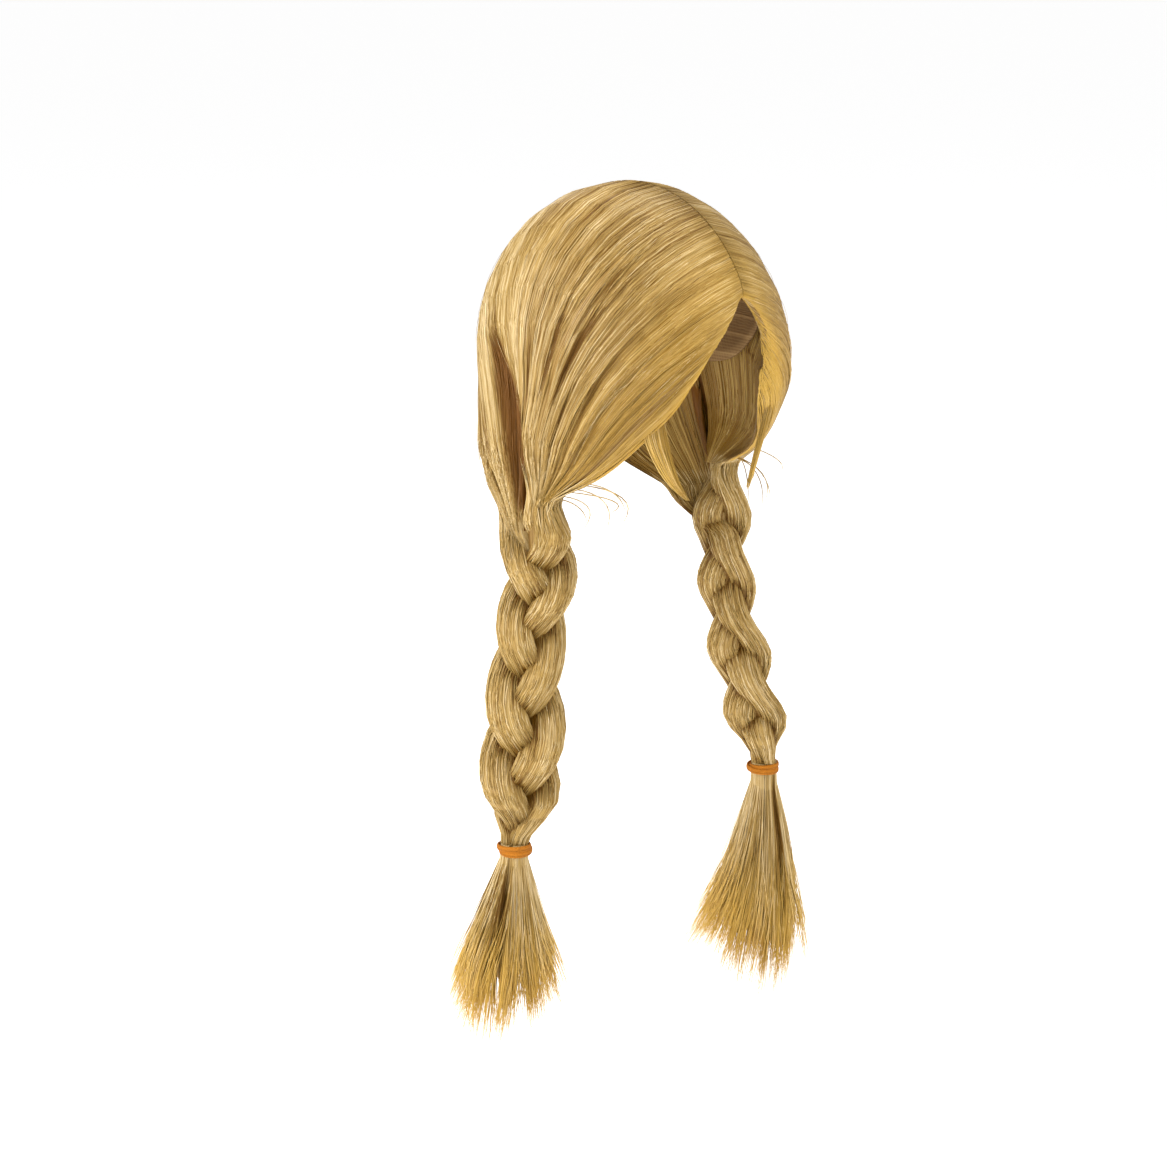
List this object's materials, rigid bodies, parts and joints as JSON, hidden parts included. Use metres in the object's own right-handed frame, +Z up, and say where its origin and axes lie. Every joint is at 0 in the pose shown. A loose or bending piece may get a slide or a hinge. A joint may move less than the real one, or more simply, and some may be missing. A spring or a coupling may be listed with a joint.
{
  "type": "wig",
  "caption": "Straight blonde wig on a thin cap, parted in the middle and drawn into plaited tails tied with elastic above loose brush-like ends.",
  "frame": {"origin": "inner crown of the cap, where the top of the wearer's head touches it", "axes": "+Z up; the wearer looks along -Y, the wearer's left is +X"},
  "size_m": [0.3435, 0.2239, 0.6117],
  "materials": {
    "hair": "golden blonde synthetic fibre, combed, silky sheen",
    "hair_ends": "golden blonde synthetic fibre, deeper gold at the cut tips",
    "cap_net": "tan stretch net, matt",
    "elastic": "orange covered elastic, matt"
  },
  "bodies": {
    "root": {"wig_cap": "cap_net", "right_front_hair": "hair", "right_back_hair": "hair", "right_plait_strand_1": "hair", "right_plait_strand_2": "hair", "right_plait_strand_3": "hair", "right_side_lock": "hair", "left_front_hair": "hair", "left_back_hair": "hair", "left_plait_strand_1": "hair", "left_plait_strand_2": "hair", "left_plait_strand_3": "hair", "left_side_lock": "hair", "right_tie": "elastic", "left_tie": "elastic", "right_tassel": "hair_ends", "left_tassel": "hair_ends"}
  },
  "joints": []
}
